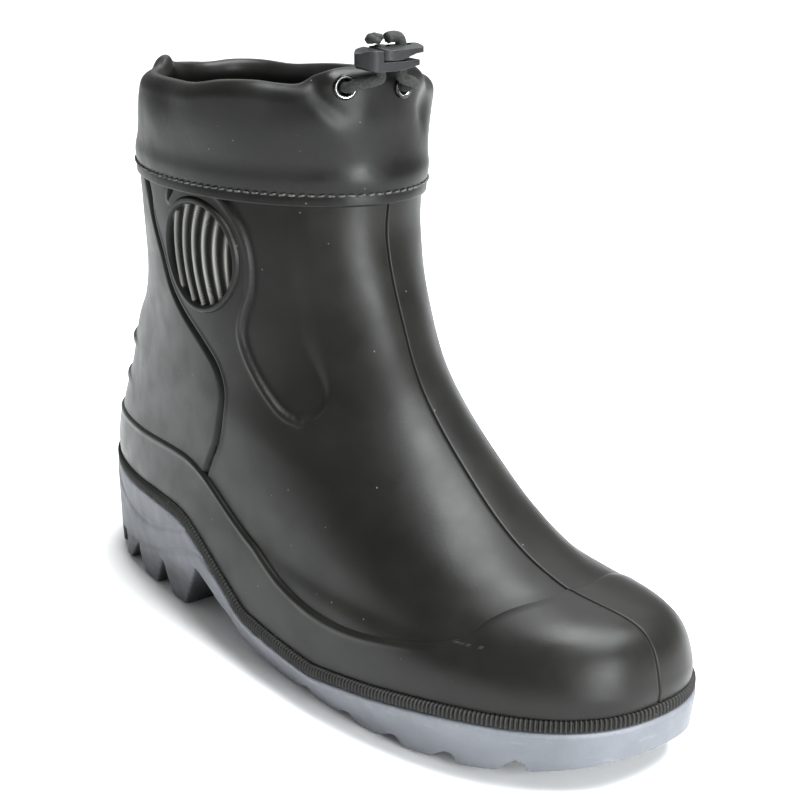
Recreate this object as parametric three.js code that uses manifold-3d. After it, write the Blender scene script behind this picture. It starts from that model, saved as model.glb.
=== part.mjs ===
// Rubber rain boot for the right foot, ankle height: a moulded upper on an injected, lugged sole,
// with a cloth collar that a drawcord and a cord lock gather.
// Millimetres. +X points to the toe, +Y to the inner side of the foot, +Z up. The origin is on the
// ground, under the middle of the boot.

import * as THREE from 'three';
import { mergeVertices } from 'three/addons/utils/BufferGeometryUtils.js';
import Module from 'manifold-3d';

const wasm = await Module();
wasm.setup();

// ---- Driving dimensions ----

const GAP = 0.3; // between pieces that touch
const AROUND = 40; // points round each section of the boot
const WALL = 3; // moulded upper
const LINING = 1;
const RAND = 1.3; // toe cap and foxing, outside the upper
const WELT = { width: 3.2, height: 4.2 };
const FOOTBED = { foam: 5, cover: 0.8, play: 0.5 };
const GUARD = { radius: 21, thick: 1.6, x: -41, z: 157 }; // ankle guards, where they sit on the shaft
const COLLAR = {
  cloth: 1,
  ease: 0.4, // from the boot's wall
  bottom: 180.5, waist: 196, bulge: 209, fold: 218.3, // heights
  front: 6.2, outer: 3, ends: 2, // how much higher the fold lies at the front, outer side, and both ends
  room: 3.3, // half the tunnel's width
};
const THREAD = { radius: 0.4, z: 184.5 };
const CORD = { radius: 2, sides: 8 };
const EYELET = { hole: 2.9, barrel: 0.5, flange: 1.6, thick: 0.6 };
const EYELETS = [{ angle: -0.3, z: 223 }, { angle: 0.16, z: 221.5 }]; // the rear one and the front one
const LOCK = {
  length: 23.5, width: 12, height: 8.4, // over all
  plate: 3.2, // the body's bottom
  block: 4.6, // the plunger's end
  holes: [-1.75, 7.05], // along the lock
  travel: 1.6,
};
// Cuts under the sole as [x, z] outlines: the arch, right across, and notches up the heel's sides, each
// from so far out from the middle.
const ARCH = [[-58, -1], [-52, 11], [-45, 17], [-36, 19], [-26, 15], [-18, 7], [0, 3], [4, -1]];
const HEEL_NOTCHES = [
  { outline: [[-146, -1], [-142, 11], [-130, 13], [-133, -1]], from: 16 },
  { outline: [[-131, -1], [-113, 14.5], [-110, -1]], from: 20 },
  { outline: [[-99, -1], [-85, 17.5], [-82.5, -1]], from: 22 },
  { outline: [[-73, -1], [-50, 27], [-36, 20], [-36, -1]], from: 22 },
];
const BALL = { x: 62, toeSpring: 12 };
const LUGS = { first: 4, pitch: 24, count: 5, rise: 5 };

// Closed outlines up the boot, like the waterlines of a hull. Each runs from its heel end to its toe
// end (x). rise, half and shift are four Bezier values from heel to toe: height above the ground, half
// width, and how far the middle lies to the inner side. square is the power of the superellipse.
const OUTLINES = [
  { x: [-159, 145], rise: [38, 34, 2, 21], half: [41, 42, 46, 66], shift: [0, -2, -8, 14], square: 2.3 },
  { x: [-159, 147], rise: [54, 54, 35, 37], half: [42, 48, 36, 69], shift: [-1, -2, -8, 14], square: 2.3 },
  { x: [-154, 138], rise: [71, 74, 37, 54], half: [44, 45, 36, 61], shift: [0, -2, -8, 13], square: 2.3 },
  { x: [-147, 109], rise: [90, 93, 56, 63], half: [41, 43, 40, 51], shift: [0, -2, -6, 4], square: 2.2 },
  { x: [-140, 79], rise: [112, 109, 87, 78], half: [37, 43, 43, 43], shift: [0, -2, -3, 1], square: 2.2 },
  { x: [-131, 42], rise: [125, 124, 107, 111], half: [35, 43, 47, 38], shift: [0, 0, 0, 0], square: 2.2 },
  { x: [-126, 26], rise: [140, 140, 140, 140], half: [36, 43, 49, 38], shift: [0, 0, 0, 0], square: 2.1 },
  { x: [-122, 18], rise: [167, 167, 167, 167], half: [40, 45, 48, 41], shift: [0, 0, 0, 0], square: 2.1 },
  { x: [-120, 17], rise: [188, 188, 188, 188], half: [42, 49, 46, 42], shift: [1, 0, 0, 2], square: 2.1 },
  { x: [-114, 15], rise: [208, 208, 208, 208], half: [40, 50, 51, 45], shift: [3, 0, 0, 0], square: 2.1 },
  { x: [-103, 14], rise: [232, 232, 232, 232], half: [36, 48, 51, 46], shift: [3, 0, 0, 0], square: 2.1 },
];
const TOP = OUTLINES.length - 1;
const SEAM = 8; // the outline where the upper ends
const GROUND = { x: [-158, 147], half: [47, 26, 44, 56], shift: [0, -2, -8, 16], square: 2.6 };

// Heights of lines round the boot, as [place, height] points. The upper's bottom edge goes by x: high
// under the heel, down through the waist, and a little up again to the toe. The rand's upper edge goes
// by the angle from the toe, in degrees: a cap over the toe, low at the ball, and high round the heel.
const BOTTOM_EDGE = [
  [-162, 43], [-110, 45], [-72, 47], [-52, 45], [-28, 32],
  [-6, 20.5], [22, 16], [60, 19], [105, 24], [150, 26],
];
const RAND_EDGE = [
  [0, 62], [28, 59], [48, 50], [60, 44], [74, 40],
  [84, 45], [92, 58], [99, 70], [106, 74], [125, 72], [180, 67],
];

// ---- The boot's skin: a smooth surface through the outlines ----

const { lerp, clamp, radToDeg } = THREE.MathUtils;
const point = (x, y, z) => new THREE.Vector3(x, y, z);
const UP = point(0, 0, 1);
const angles = Array.from({ length: AROUND }, (_, i) => (2 * Math.PI * i) / AROUND);
const flat = OUTLINES.map(({ x, rise, half, shift, square }) => [...x, ...rise, ...half, ...shift, square]);

function bezier([a, b, c, d], t) {
  const s = 1 - t;
  return a * s ** 3 + 3 * b * s * s * t + 3 * c * s * t * t + d * t ** 3;
}

// All the values of the outline at a level between the listed ones, by a Catmull-Rom run.
function outlineAt(level) {
  const i = clamp(Math.floor(level), 0, TOP - 1);
  const f = level - i;
  const before = flat[i - 1] ?? flat[i].map((value, k) => 2 * value - flat[i + 1][k]);
  const after = flat[i + 2] ?? flat[i + 1].map((value, k) => 2 * value - flat[i][k]);
  return flat[i].map((q, k) => {
    const [p, r, s] = [before[k], flat[i + 1][k], after[k]];
    const bend = (2 * p - 5 * q + 4 * r - s) * f * f + (3 * q - p - 3 * r + s) * f ** 3;
    return q + 0.5 * ((r - p) * f + bend);
  });
}

// A point of an outline. The angle is 0 at the toe, a quarter turn at the inner side, a half at the heel.
function outlinePoint(values, angle) {
  const power = 2 / values[14];
  const signed = (value) => Math.sign(value) * Math.abs(value) ** power;
  const t = (1 + signed(Math.cos(angle))) / 2;
  const y = signed(Math.sin(angle)) * bezier(values.slice(6, 10), t) + bezier(values.slice(10, 14), t);
  return point(lerp(values[0], values[1], t), y, bezier(values.slice(2, 6), t));
}

const skinPoint = (level, angle) => outlinePoint(outlineAt(level), angle);

function skinNormal(level, angle) {
  const step = 0.01;
  const up = skinPoint(Math.min(level + step, TOP), angle).sub(skinPoint(Math.max(level - step, 0), angle));
  const round = skinPoint(level, angle + step).sub(skinPoint(level, angle - step));
  return round.cross(up).normalize();
}

const skin = (level, angle, offset) =>
  skinPoint(level, angle).addScaledVector(skinNormal(level, angle), offset);

// The level at which the skin reaches a height, found by halving.
function levelAtHeight(angle, height) {
  let [low, high] = [0, TOP];
  for (let k = 0; k < 30; k += 1) {
    const middle = (low + high) / 2;
    if (skinPoint(middle, angle).z < height) low = middle;
    else high = middle;
  }
  return (low + high) / 2;
}

const atHeight = (angle, height, offset) => skin(levelAtHeight(angle, height), angle, offset);

// The height of a line at a place, by a smooth run through its points.
function along(line, place) {
  const last = line.length - 1;
  const i = clamp(line.findIndex(([end]) => end > place) - 1, 0, last - 1);
  const slope = (k) => {
    const [a, b] = [line[Math.max(k - 1, 0)], line[Math.min(k + 1, last)]];
    return (b[1] - a[1]) / (b[0] - a[0]);
  };
  const [[from, p], [to, q]] = [line[i], line[i + 1]];
  const t = (place - from) / (to - from);
  const ease = t * t * (3 - 2 * t);
  const swing = (slope(i) * (1 - t) - slope(i + 1) * t) * t * (1 - t);
  return lerp(p, q, ease) + swing * (to - from);
}

// The level of the upper's bottom edge, found by halving.
function findEdge(angle) {
  let [low, high] = [0, 2];
  for (let k = 0; k < 25; k += 1) {
    const middle = (low + high) / 2;
    const { x, z } = skinPoint(middle, angle);
    if (z < along(BOTTOM_EDGE, x)) low = middle;
    else high = middle;
  }
  return (low + high) / 2;
}

const edges = new Map();

function edgeLevel(angle) {
  if (!edges.has(angle)) edges.set(angle, findEdge(angle));
  return edges.get(angle);
}

const edgePoint = (angle) => skinPoint(edgeLevel(angle), angle);

// A point beside the upper's bottom edge: so far outward, so far up.
function besideBase(angle, outward, upward) {
  const normal = skinNormal(edgeLevel(angle), angle).setZ(0).normalize();
  return edgePoint(angle).addScaledVector(normal, outward).addScaledVector(UP, upward);
}

const aboveBase = (angle, upward, offset) => atHeight(angle, edgePoint(angle).z + upward, offset);

// ---- Closed geometry ----

function closed(points, faces) {
  const geometry = new THREE.BufferGeometry();
  geometry.setAttribute('position', new THREE.Float32BufferAttribute(points.flatMap((p) => p.toArray()), 3));
  const volume = faces.reduce((sum, [a, b, c]) => {
    return sum + points[a].dot(points[b].clone().cross(points[c]));
  }, 0);
  geometry.setIndex(faces.flatMap(([a, b, c]) => (volume > 0 ? [a, b, c] : [a, c, b])));
  geometry.computeVertexNormals();
  return geometry;
}

// Two triangles for four corners, split along the shorter way across.
function quad(points, a, b, c, d) {
  const straight = points[a].distanceTo(points[c]) <= points[b].distanceTo(points[d]);
  return straight ? [[a, b, c], [a, c, d]] : [[a, b, d], [b, c, d]];
}

// A solid through rings of points. The first and last ring are closed by rungs from side to side.
function loft(rings) {
  const points = rings.flat();
  const n = rings[0].length;
  const faces = [];
  for (let k = 0; k + 1 < rings.length; k += 1) {
    for (let i = 0; i < n; i += 1) {
      const j = (i + 1) % n;
      faces.push(...quad(points, k * n + i, k * n + j, (k + 1) * n + j, (k + 1) * n + i));
    }
  }
  const rungs = (start, turn) => {
    const at = (i) => start + (i % n);
    const cap = [[at(0), at(n - 1), at(1)]];
    for (let i = 1; i + 1 < n / 2; i += 1) {
      cap.push(...quad(points, at(i), at(n - i), at(n - i - 1), at(i + 1)));
    }
    cap.push([at(n / 2 - 1), at(n / 2 + 1), at(n / 2)]);
    faces.push(...cap.map(([a, b, c]) => (turn ? [a, c, b] : [a, b, c])));
  };
  rungs(0, false);
  rungs((rings.length - 1) * n, true);
  return closed(points, faces);
}

// A solid that goes right round the boot: one closed section at each angle.
function hoop(sectionAt) {
  const points = angles.flatMap(sectionAt);
  const n = points.length / AROUND;
  const faces = [];
  angles.forEach((_, k) => {
    const next = ((k + 1) % AROUND) * n;
    for (let i = 0; i < n; i += 1) {
      const j = (i + 1) % n;
      faces.push(...quad(points, k * n + i, k * n + j, next + j, next + i));
    }
  });
  return closed(points, faces);
}

function toSolid(geometry) {
  const bare = geometry.clone().deleteAttribute('normal').deleteAttribute('uv');
  const merged = mergeVertices(bare, 1e-4);
  return new wasm.Manifold(new wasm.Mesh({
    numProp: 3,
    vertProperties: new Float32Array(merged.attributes.position.array),
    triVerts: new Uint32Array(merged.index.array),
  }));
}

function fromSolid(solid) {
  const mesh = solid.getMesh();
  const geometry = new THREE.BufferGeometry();
  geometry.setAttribute('position', new THREE.BufferAttribute(mesh.vertProperties, 3));
  geometry.setIndex(new THREE.BufferAttribute(mesh.triVerts, 1));
  geometry.computeVertexNormals();
  return geometry;
}

const cut = (geometry, cutters) =>
  fromSolid(cutters.reduce((solid, cutter) => solid.subtract(toSolid(cutter)), toSolid(geometry)));

// ---- Parts ----

const boot = new THREE.Group();

function add(parent, name, geometry, colour, roughness, metalness = 0) {
  const material = new THREE.MeshStandardMaterial({ color: colour, roughness, metalness });
  const mesh = new THREE.Mesh(geometry, material);
  mesh.name = name;
  parent.add(mesh);
  return mesh;
}

const BLACK = 0x24241f;
const CLOTH_BLACK = 0x202020;

// A prism across the boot from an outline of [x, z] points.
function crossPrism(outline, from, to) {
  const shape = new THREE.Shape(outline.map(([x, z]) => new THREE.Vector2(x, z)));
  const geometry = new THREE.ExtrudeGeometry(shape, { depth: to - from, bevelEnabled: false });
  return geometry.rotateX(Math.PI / 2).translate(0, to, 0);
}

function treadRise(x) {
  const run = Math.max(0, x - BALL.x) / (GROUND.x[1] - BALL.x);
  return BALL.toeSpring * run ** 2;
}

function outsole() {
  const { x, half, shift, square } = GROUND;
  const bottom = angles.map((angle) => {
    const p = outlinePoint([...x, 0, 0, 0, 0, ...half, ...shift, square], angle);
    return p.setZ(treadRise(p.x));
  });
  const top = angles.map((angle) => besideBase(angle, WELT.width + GAP, 0));
  const waist = top.map((p, i) => p.clone().lerp(bottom[i], 0.55));
  const heelCuts = HEEL_NOTCHES.flatMap(({ outline, from }) => {
    return [crossPrism(outline, from, 80), crossPrism(outline, -80, -from)];
  });
  const lugCuts = Array.from({ length: LUGS.count }, (_, i) => {
    const start = LUGS.first + i * LUGS.pitch;
    const end = start + LUGS.pitch;
    const base = treadRise(end);
    const top = base + LUGS.rise;
    return crossPrism([[start + 5, -1], [end, -1], [end, top], [end - 3, top]], -90, 90);
  });
  return cut(loft([bottom, waist, top]), [crossPrism(ARCH, -90, 90), ...lugCuts, ...heelCuts]);
}

// The wall's rows, as parts of the way from the upper's bottom edge to its top edge.
const wallRows = Array.from({ length: 14 }, (_, i) => (i + 1) / 14);

const onRow = (row, angle, offset) => skin(lerp(edgeLevel(angle), SEAM, row), angle, offset);

// A ring round a floor: the skin's shape just above the upper's own floor, moved in and set at a height.
function floorRing(offset, height) {
  return angles.map((angle) => {
    return aboveBase(angle, WALL + GAP, offset).setZ(edgePoint(angle).z + height);
  });
}

// A bag inside the skin, closed at the bottom: from its outer offset in, by its thickness.
function bag(outerOffset, thick, floor) {
  const base = floorRing(outerOffset, floor);
  const inside = floorRing(outerOffset - thick, floor + thick);
  const walls = (offset) => wallRows.map((row) => angles.map((angle) => onRow(row, angle, offset)));
  return loft([base, ...walls(outerOffset), ...walls(outerOffset - thick).reverse(), inside]);
}

// Cuts a piece that lies on the upper, so that it follows the upper's facets a gap away.
function onUpper(geometry) {
  const walls = [...wallRows, 1.04].map((row) => angles.map((angle) => onRow(row, angle, GAP)));
  return cut(geometry, [loft([floorRing(GAP, -1), ...walls])]);
}

const insideLining = -(WALL + 2 * GAP + LINING + FOOTBED.play);
const floorTop = WALL + LINING + 3 * GAP;

// A point on the straight run between the inner wall's rows, so far above the upper's bottom edge.
function onWall(angle, height) {
  const z = edgePoint(angle).z + height;
  const foot = aboveBase(angle, WALL + GAP, insideLining).setZ(edgePoint(angle).z + WALL);
  const rows = [foot, ...wallRows.map((row) => onRow(row, angle, insideLining))];
  const k = rows.findIndex((row) => row.z > z);
  return rows[k - 1].clone().lerp(rows[k], (z - rows[k - 1].z) / (rows[k].z - rows[k - 1].z));
}

function footbedLayer(from, thick) {
  const ring = (height) => angles.map((angle) => onWall(angle, height));
  return loft([ring(from), ring(from + thick)]);
}

function welt() {
  return onUpper(hoop((angle) => [
    aboveBase(angle, GAP, -1),
    besideBase(angle, WELT.width, GAP),
    besideBase(angle, WELT.width, GAP + WELT.height),
    aboveBase(angle, GAP + WELT.height, -1),
  ]));
}

// How far round from the toe an angle is, in degrees, on either side of the boot.
const fromToe = (angle) => radToDeg(Math.min(angle, 2 * Math.PI - angle));

function rand() {
  const steps = 7;
  return onUpper(hoop((angle) => {
    const foot = edgePoint(angle).z + WELT.height + 2 * GAP;
    const [low, high] = [foot, along(RAND_EDGE, fromToe(angle))].map((z) => levelAtHeight(angle, z));
    const side = (offset) => Array.from({ length: steps }, (_, k) => {
      const p = skin(lerp(low, high, k / (steps - 1)), angle, offset);
      return k === 0 ? p.setZ(foot) : p;
    });
    return [...side(-1), ...side(RAND).reverse()];
  }));
}

// The skin's point at a place in the side view, on the outer (-1) or the inner (1) side of the foot.
function sidePoint(x, z, side, offset) {
  let [low, high] = side > 0 ? [0, Math.PI] : [Math.PI, 2 * Math.PI];
  for (let k = 0; k < 30; k += 1) {
    const middle = (low + high) / 2;
    const tooFar = skinPoint(levelAtHeight(middle, z), middle).x > x;
    if (tooFar === side > 0) low = middle;
    else high = middle;
  }
  return atHeight((low + high) / 2, z, offset);
}

function ankleGuard(side) {
  const sides = 24;
  const ring = (radius, offset) => Array.from({ length: sides }, (_, i) => {
    const turn = (2 * Math.PI * i) / sides;
    return sidePoint(GUARD.x + radius * Math.cos(turn), GUARD.z + radius * Math.sin(turn), side, offset);
  });
  const radii = [0.25, 0.6, 1].map((part) => part * GUARD.radius);
  const under = radii.map((radius) => ring(radius, -1));
  const over = radii.map((radius) => ring(radius, GUARD.thick)).reverse();
  return onUpper(loft([...under, ...over]));
}

// The collar is one cloth, folded over at the top. Its section is a tall arch over the upper's edge.
const collarOut = GAP + COLLAR.ease;
const collarIn = -(WALL + 2 * GAP + LINING + COLLAR.ease);
const collarMiddle = (collarOut + collarIn) / 2 + 0.6;

// The height of the tunnel's middle, which is highest at the front.
const foldHeight = (angle) => {
  const { fold, front, outer, ends } = COLLAR;
  return fold + front * Math.cos(angle) - outer * Math.sin(angle) + ends * Math.cos(2 * angle);
};

function collarSection(angle) {
  const { cloth, bottom, waist, bulge, room } = COLLAR;
  const arch = (radius) => [0, 1, 2, 3, 4].map((k) => {
    const turn = (Math.PI * k) / 4;
    return atFold(angle, collarMiddle + radius * Math.cos(turn), radius * Math.sin(turn));
  });
  const wallOf = (foot, top) => [[foot, bottom], [foot, waist], [top, bulge]];
  const outer = (extra) => wallOf(collarOut + extra, collarMiddle + room + extra);
  const inner = (extra) => wallOf(collarIn - extra, collarMiddle - room - extra).reverse();
  const wall = (pairs) => pairs.map(([offset, z]) => atHeight(angle, z, offset));
  return [
    ...wall(outer(cloth)), ...arch(room + cloth), ...wall(inner(cloth)),
    ...wall(inner(0).reverse()), ...arch(room).reverse(), ...wall(outer(0).reverse()),
  ];
}

// A point in the collar's tunnel: so far outside the skin, and so far above the tunnel's middle.
function atFold(angle, offset, up) {
  return atHeight(angle, COLLAR.fold, offset).setZ(foldHeight(angle) + up);
}

// A frame on the collar at an angle: outward, and along the edge towards the inner side at the front.
function collarFrame({ angle, z }) {
  const out = skinNormal(levelAtHeight(angle, z), angle).setZ(0).normalize();
  const along = UP.clone().cross(out);
  return { origin: atHeight(angle, z, 0), out, along };
}

const inFrame = ({ origin, out, along }, a, o, u) => {
  return origin.clone().addScaledVector(along, a).addScaledVector(out, o).addScaledVector(UP, u);
};

function collar() {
  const holes = EYELETS.map((place) => eyeletTube(place, EYELET.hole + EYELET.barrel + GAP, -0.5, 8));
  return cut(hoop(collarSection), holes);
}

// The stitched thread, as a plain cord round the collar's lower edge.
function seamThread() {
  const sides = 5;
  return hoop((angle) => Array.from({ length: sides }, (_, k) => {
    const turn = (2 * Math.PI * k) / sides;
    const out = collarOut + COLLAR.cloth + 2 * GAP + THREAD.radius * (1 + Math.cos(turn));
    return atHeight(angle, THREAD.z + THREAD.radius * Math.sin(turn), out);
  }));
}

// How far outside the skin the collar's cloth lies at the eyelets.
const clothAt = collarMiddle + COLLAR.room;

function eyeletTube(place, radius, from, to) {
  const tube = new THREE.CylinderGeometry(radius, radius, to - from, 24);
  return placeOut(tube.translate(0, (from + to) / 2, 0), place);
}

// Turns a piece made along +Y so that it points out of the collar at a place.
function placeOut(geometry, place) {
  const frame = collarFrame(place);
  const matrix = new THREE.Matrix4().makeBasis(frame.along.clone().negate(), frame.out, UP);
  return geometry.applyMatrix4(matrix.setPosition(frame.origin));
}

// An eyelet's profile: a barrel through the cloth and a flange outside it, as [radius, along] pairs.
function eyelet(place) {
  const { hole, barrel, flange, thick } = EYELET;
  const outside = clothAt + COLLAR.cloth + GAP;
  const inside = clothAt - 1.9;
  const profile = [
    [hole, inside], [hole + barrel, inside], [hole + barrel, outside],
    [hole + flange, outside], [hole + flange, outside + thick / 2], [hole + flange / 2, outside + thick],
    [hole, outside + thick / 2], [hole, inside],
  ];
  return placeOut(ring(profile), place);
}

function washer(place) {
  const { hole, barrel, flange, thick } = EYELET;
  const [inner, outer, top] = [hole + barrel + GAP, hole + flange, clothAt - 1];
  const low = top - thick;
  return placeOut(ring([[inner, low], [outer, low], [outer, top], [inner, top], [inner, low]]), place);
}

const ring = (profile) => {
  return new THREE.LatheGeometry(profile.map(([r, y]) => new THREE.Vector2(r, y)), 20);
};

// ---- Cord and cord lock ----

// The lock stands outside the collar, between the eyelets, with its holes upright.
const LOCK_AT = { angle: -0.07, z: 229.2, along: -1.2, out: clothAt + 8.2 }; // its bottom's middle
const lockFrame = collarFrame(LOCK_AT);

const lockPoint = (a, o, u) => inFrame(lockFrame, LOCK_AT.along + a, LOCK_AT.out + o, u);

// One end of the cord, from the lock's hole down and in through the eyelet to the tunnel. It leaves
// the eyelet leaning towards the hole, and goes on round the tunnel the way that turn says.
function strand(place, turn, lean) {
  const frame = collarFrame(EYELETS[place]);
  const hole = LOCK.holes[place];
  return [
    lockPoint(hole, 0, 0),
    lockPoint(hole, 0, -1.4),
    lockPoint(hole, 0, -2.8),
    inFrame(frame, 2.4 * lean, clothAt + 6.6, 1.5),
    inFrame(frame, 0.8 * lean, clothAt + 4, 0.3),
    inFrame(frame, 0, clothAt + 1.6, 0),
    inFrame(frame, 0, clothAt - 1, 0),
    inFrame(frame, 0.5 * turn, collarMiddle + 0.4, 0.3),
    inFrame(frame, 3 * turn, collarMiddle - 0.8, 0.4),
    inFrame(frame, 9 * turn, collarMiddle, 0.3),
  ];
}

function cordPath() {
  const past = 0.3;
  const [from, to] = [EYELETS[1].angle + past, EYELETS[0].angle + 2 * Math.PI - past];
  const steps = 16;
  const tunnel = Array.from({ length: steps + 1 }, (_, k) => {
    return atFold(lerp(from, to, k / steps), collarMiddle, -0.8);
  });
  const { height, holes: [rear, front] } = LOCK;
  const arch = [
    lockPoint(rear + 2.65, 0.2, height + 2.3),
    lockPoint(rear + 4.5, 0.1, height + 2.7),
    lockPoint(front - 1.1, 0, height + 2.1),
    lockPoint(front, 0, height - 0.8),
  ];
  const end = lockPoint(rear, 0, height + 0.2);
  return [...arch, ...strand(1, 1, -0.3), ...tunnel, ...strand(0, -1, 1).reverse(), end];
}

// A curve that takes the same number of steps between each two of its points.
class EvenSpans extends THREE.CatmullRomCurve3 {
  getUtoTmapping(u) {
    return u;
  }
}

function drawcord() {
  const points = cordPath();
  const path = new EvenSpans(points, false, 'centripetal');
  const steps = 2 * (points.length - 1);
  const circle = Array.from({ length: CORD.sides }, (_, i) => {
    const turn = (2 * Math.PI * (i + 0.5)) / CORD.sides;
    return new THREE.Vector2(CORD.radius * Math.cos(turn), CORD.radius * Math.sin(turn));
  });
  return new THREE.ExtrudeGeometry(new THREE.Shape(circle), { extrudePath: path, steps });
}

// Stands a piece made round its own origin, long side along X, at the lock's place.
function placeLock(geometry, a = 0, o = 0, u = 0) {
  const matrix = new THREE.Matrix4().makeBasis(lockFrame.along, lockFrame.out.clone().negate(), UP);
  return geometry.applyMatrix4(matrix.setPosition(lockPoint(a, o, u)));
}

function plan(length, width) {
  const r = width / 2;
  const shape = new THREE.Shape();
  shape.absarc(r - length / 2, 0, r, Math.PI / 2, (3 * Math.PI) / 2);
  shape.lineTo(length / 2 - 2, -r);
  shape.quadraticCurveTo(length / 2, -r, length / 2, 2 - r);
  shape.lineTo(length / 2, r - 2);
  shape.quadraticCurveTo(length / 2, r, length / 2 - 2, r);
  shape.closePath();
  return shape;
}

const slab = (shape, height, z) => {
  const options = { depth: height, bevelEnabled: false, curveSegments: 8 };
  return new THREE.ExtrudeGeometry(shape, options).translate(0, 0, z);
};

const upright = (radius, x) =>
  new THREE.CylinderGeometry(radius, radius, 30, 16).rotateX(Math.PI / 2).translate(x, 0, 0);
const block = (x0, x1, y, z0, z1) => {
  return new THREE.BoxGeometry(x1 - x0, 2 * y, z1 - z0).translate((x0 + x1) / 2, 0, (z0 + z1) / 2);
};

const holeRadius = CORD.radius + GAP;
const blockEnd = -LOCK.length / 2 + LOCK.block; // where the lock's tall end stops and its lower plate starts
const plungerStart = blockEnd + LOCK.travel + GAP;
const plungerEnd = LOCK.length / 2 + LOCK.travel;

function lockBody() {
  const { length, width, height, plate, block: tall, holes } = LOCK;
  const whole = slab(plan(length, width), height, 0);
  const deck = slab(plan(length, width + 2), height, plate).translate(tall, 0, 0);
  const pocket = block(blockEnd - 3, blockEnd + 2, 2, plate + 0.6, height - 1.2);
  return placeLock(cut(whole, [deck, pocket, ...holes.map((x) => upright(holeRadius, x))]));
}

// The plunger lies on the lower plate. Its slots let it travel along the cord's two strands.
function lockPlunger() {
  const { width, height, plate, holes, travel } = LOCK;
  const body = slab(plan(plungerEnd - plungerStart, width), height - plate - GAP, plate + GAP);
  body.translate((plungerStart + plungerEnd) / 2, 0, 0);
  const slots = holes.flatMap((x) => {
    const slot = block(x, x + travel, holeRadius, -1, 20);
    return [upright(holeRadius, x), upright(holeRadius, x + travel), slot];
  });
  return placeLock(cut(body, slots));
}

function lockSpring() {
  const turns = 4;
  const [from, to, radius, wire] = [blockEnd - 2.4, plungerStart - 0.6, 1.2, 0.25];
  const points = Array.from({ length: turns * 10 + 1 }, (_, k) => {
    const turn = (2 * Math.PI * k) / 10;
    const z = (LOCK.plate + LOCK.height - 0.6) / 2;
    return point(lerp(from, to, k / (turns * 10)), radius * Math.cos(turn), z + radius * Math.sin(turn));
  });
  const section = new THREE.Shape().absarc(0, 0, wire, 0, 2 * Math.PI);
  const path = new THREE.CatmullRomCurve3(points);
  const options = { extrudePath: path, steps: turns * 10, curveSegments: 3 };
  return placeLock(new THREE.ExtrudeGeometry(section, options));
}

// The knot that joins the cord's ends, on top of the lock.
function knot() {
  const ball = new THREE.SphereGeometry(1, 14, 10).scale(3.4, 3.2, 1.9);
  return placeLock(ball, LOCK.holes[0] - 2.4, 0, LOCK.height + 2.5);
}

add(boot, 'outsole', outsole(), 0x6d7079, 0.6);
add(boot, 'ribbed_welt', welt(), BLACK, 0.6);
add(boot, 'upper_shell', bag(0, WALL, GAP), BLACK, 0.45);
add(boot, 'toe_and_foxing_rand', rand(), BLACK, 0.45);
add(boot, 'ankle_guard_outer', ankleGuard(-1), BLACK, 0.4);
add(boot, 'ankle_guard_inner', ankleGuard(1), BLACK, 0.4);
add(boot, 'knit_lining', bag(-(WALL + GAP), LINING, WALL + 2 * GAP), 0x3a3a3a, 0.95);
add(boot, 'insole_foam', footbedLayer(floorTop, FOOTBED.foam), 0x505050, 0.9);
add(boot, 'insole_cover', footbedLayer(floorTop + FOOTBED.foam + GAP, FOOTBED.cover), 0x303030, 0.95);
add(boot, 'collar', collar(), CLOTH_BLACK, 0.5);
add(boot, 'seam_thread', seamThread(), 0x1a1a1a, 0.7);
['rear', 'front'].forEach((place, i) => {
  add(boot, `eyelet_${place}`, eyelet(EYELETS[i]), 0xc8c8c8, 0.25, 1);
  add(boot, `eyelet_washer_${place}`, washer(EYELETS[i]), 0xb0b0b0, 0.3, 1);
});
add(boot, 'drawcord', drawcord(), 0x101010, 0.9);
add(boot, 'cord_knot', knot(), 0x101010, 0.9);
add(boot, 'cord_lock_body', lockBody(), 0x303030, 0.5);
add(boot, 'cord_lock_plunger', lockPlunger(), 0x303030, 0.5);
add(boot, 'cord_lock_spring', lockSpring(), 0xa0a0a0, 0.3, 1);

const size = new THREE.Box3().setFromObject(boot, true);
const middle = size.getCenter(point(0, 0, 0));
boot.position.set(-middle.x, -middle.y, 0);

export default boot;
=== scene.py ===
"""Looks of the rubber rain boot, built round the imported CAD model.

The boot's shape is worked out in millimetres in the boot's own frame: +X to the toe, +Y to the inner
side of the foot, +Z up. make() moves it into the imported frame, in metres.
"""
import math

import bmesh
import bpy
import numpy as np
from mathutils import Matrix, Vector


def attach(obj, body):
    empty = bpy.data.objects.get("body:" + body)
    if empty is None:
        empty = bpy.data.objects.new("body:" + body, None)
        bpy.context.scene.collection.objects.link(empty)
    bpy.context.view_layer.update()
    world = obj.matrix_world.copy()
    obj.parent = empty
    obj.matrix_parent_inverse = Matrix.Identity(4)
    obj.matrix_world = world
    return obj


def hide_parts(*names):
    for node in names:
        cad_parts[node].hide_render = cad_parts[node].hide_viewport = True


scene = bpy.context.scene
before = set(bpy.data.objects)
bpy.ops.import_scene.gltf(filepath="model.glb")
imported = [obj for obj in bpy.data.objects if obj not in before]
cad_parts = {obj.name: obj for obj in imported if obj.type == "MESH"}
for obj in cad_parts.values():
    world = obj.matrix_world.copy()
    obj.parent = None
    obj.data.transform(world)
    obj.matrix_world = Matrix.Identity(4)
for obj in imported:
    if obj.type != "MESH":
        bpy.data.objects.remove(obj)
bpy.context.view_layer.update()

MM = 0.001
CENTRE = np.array([6.607, -0.896, 0.0])  # from the boot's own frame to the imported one
UP = np.array([0.0, 0.0, 1.0])

# ---- The boot's skin, as in the CAD model ----

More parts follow.
